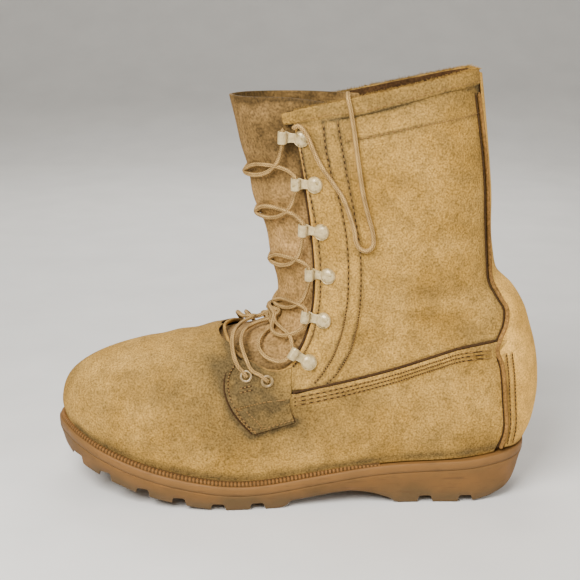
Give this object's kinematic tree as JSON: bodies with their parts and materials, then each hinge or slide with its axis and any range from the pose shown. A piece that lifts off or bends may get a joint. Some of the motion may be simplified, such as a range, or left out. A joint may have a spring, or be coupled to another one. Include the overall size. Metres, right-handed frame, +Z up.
{
  "type": "combat boot",
  "caption": "Left lace-up combat boot: hollow rough-out leather upper with tall shaft, heel counter, tongue, lacing hooks and lace, on a lugged rubber sole.",
  "frame": {"origin": "on the floor, below the middle of the box of all that isn't loose lace", "axes": "+X towards the toe, +Y towards the wearer's left, which is the boot's outer side, +Z up"},
  "size_m": [0.3288, 0.115, 0.2854],
  "materials": {
    "rough_out_leather": "napped, dry and slightly soiled",
    "counter_leather": "napped, pressed smoother over the heel",
    "tongue_leather": "soft, smoother and warmer than the upper",
    "outsole_rubber": "matt gum rubber with dusty wear",
    "midsole_rubber": "matt gum rubber",
    "welt_rubber": "matt, notched",
    "footbed": "felted",
    "painted_brass": "satin paint, rubbed bright on the edges",
    "lace_cord": "braided, matt"
  },
  "bodies": {
    "root": {"outsole": "outsole_rubber", "midsole": "midsole_rubber", "welt": "welt_rubber", "insole": "footbed", "upper": "rough_out_leather", "heel_counter": "counter_leather", "tongue": "tongue_leather", "lace_end": "lace_cord", "hook_outer_1": "painted_brass", "hook_outer_2": "painted_brass", "hook_outer_3": "painted_brass", "hook_outer_4": "painted_brass", "hook_outer_5": "painted_brass", "hook_outer_6": "painted_brass", "eyelet_outer_1": "painted_brass", "eyelet_outer_2": "painted_brass", "hook_inner_1": "painted_brass", "hook_inner_2": "painted_brass", "hook_inner_3": "painted_brass", "hook_inner_4": "painted_brass", "hook_inner_5": "painted_brass", "hook_inner_6": "painted_brass", "eyelet_inner_1": "painted_brass", "eyelet_inner_2": "painted_brass", "lace_crossing_1": "lace_cord", "lace_crossing_2": "lace_cord", "lace_crossing_3": "lace_cord", "lace_crossing_4": "lace_cord", "lace_crossing_5": "lace_cord", "lace_crossing_6": "lace_cord"}
  },
  "joints": []
}
